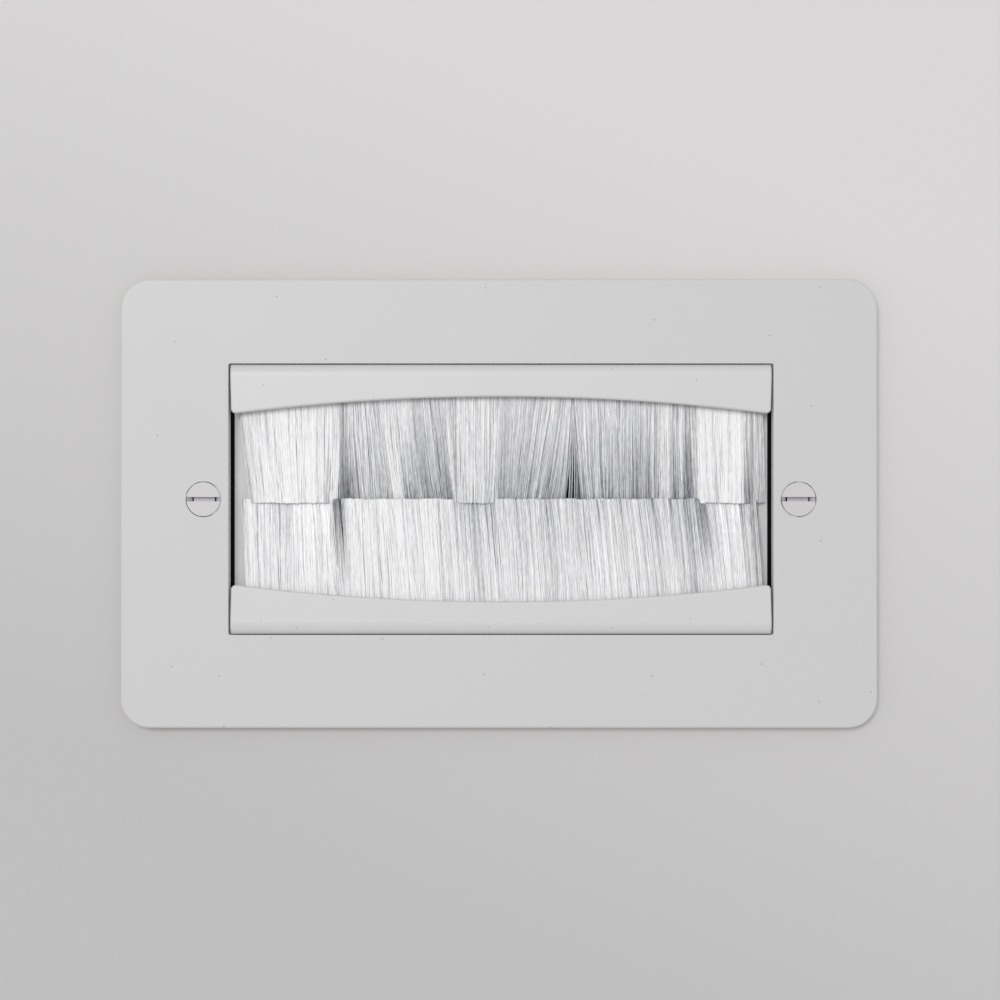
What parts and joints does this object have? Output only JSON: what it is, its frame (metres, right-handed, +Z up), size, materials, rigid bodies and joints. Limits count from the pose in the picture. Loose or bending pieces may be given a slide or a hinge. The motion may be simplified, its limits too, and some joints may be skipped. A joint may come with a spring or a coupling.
{
  "type": "double brush wall plate",
  "caption": "Wall plate whose moulded frame holds an upper and a lower strip brush, so that cables pass out of the wall box between their bristles.",
  "frame": {"origin": "on the wall plane, midway between the two fixing screws", "axes": "+X right along the wall, +Z up, +Y into the wall, so the front faces -Y"},
  "size_m": [0.1536, 0.0253, 0.091],
  "materials": {
    "coated_steel": "satin powder coat",
    "frame_plastic": "moulded, fine satin",
    "bristle_nylon": "fine translucent filament",
    "channel_steel": "galvanised strip",
    "wire_steel": "drawn wire",
    "clamp_plastic": "moulded",
    "screw_finish": "satin, matched to the plate",
    "zinc_steel": "bright zinc plate",
    "retainer_nylon": "natural nylon",
    "terminal_brass": "machined"
  },
  "bodies": {
    "root": {"face_plate": "coated_steel", "brush_frame": "frame_plastic", "upper_bristles": "bristle_nylon", "lower_bristles": "bristle_nylon", "upper_strip_channel": "channel_steel", "lower_strip_channel": "channel_steel", "upper_core_wire": "wire_steel", "lower_core_wire": "wire_steel", "upper_strip_clamp": "clamp_plastic", "lower_strip_clamp": "clamp_plastic", "clamp_screws": "zinc_steel", "stud_washers": "zinc_steel", "stud_nuts": "zinc_steel", "fixing_screws": "screw_finish", "screw_retainers": "retainer_nylon", "earth_terminal": "terminal_brass", "earth_screw": "zinc_steel"}
  },
  "joints": []
}
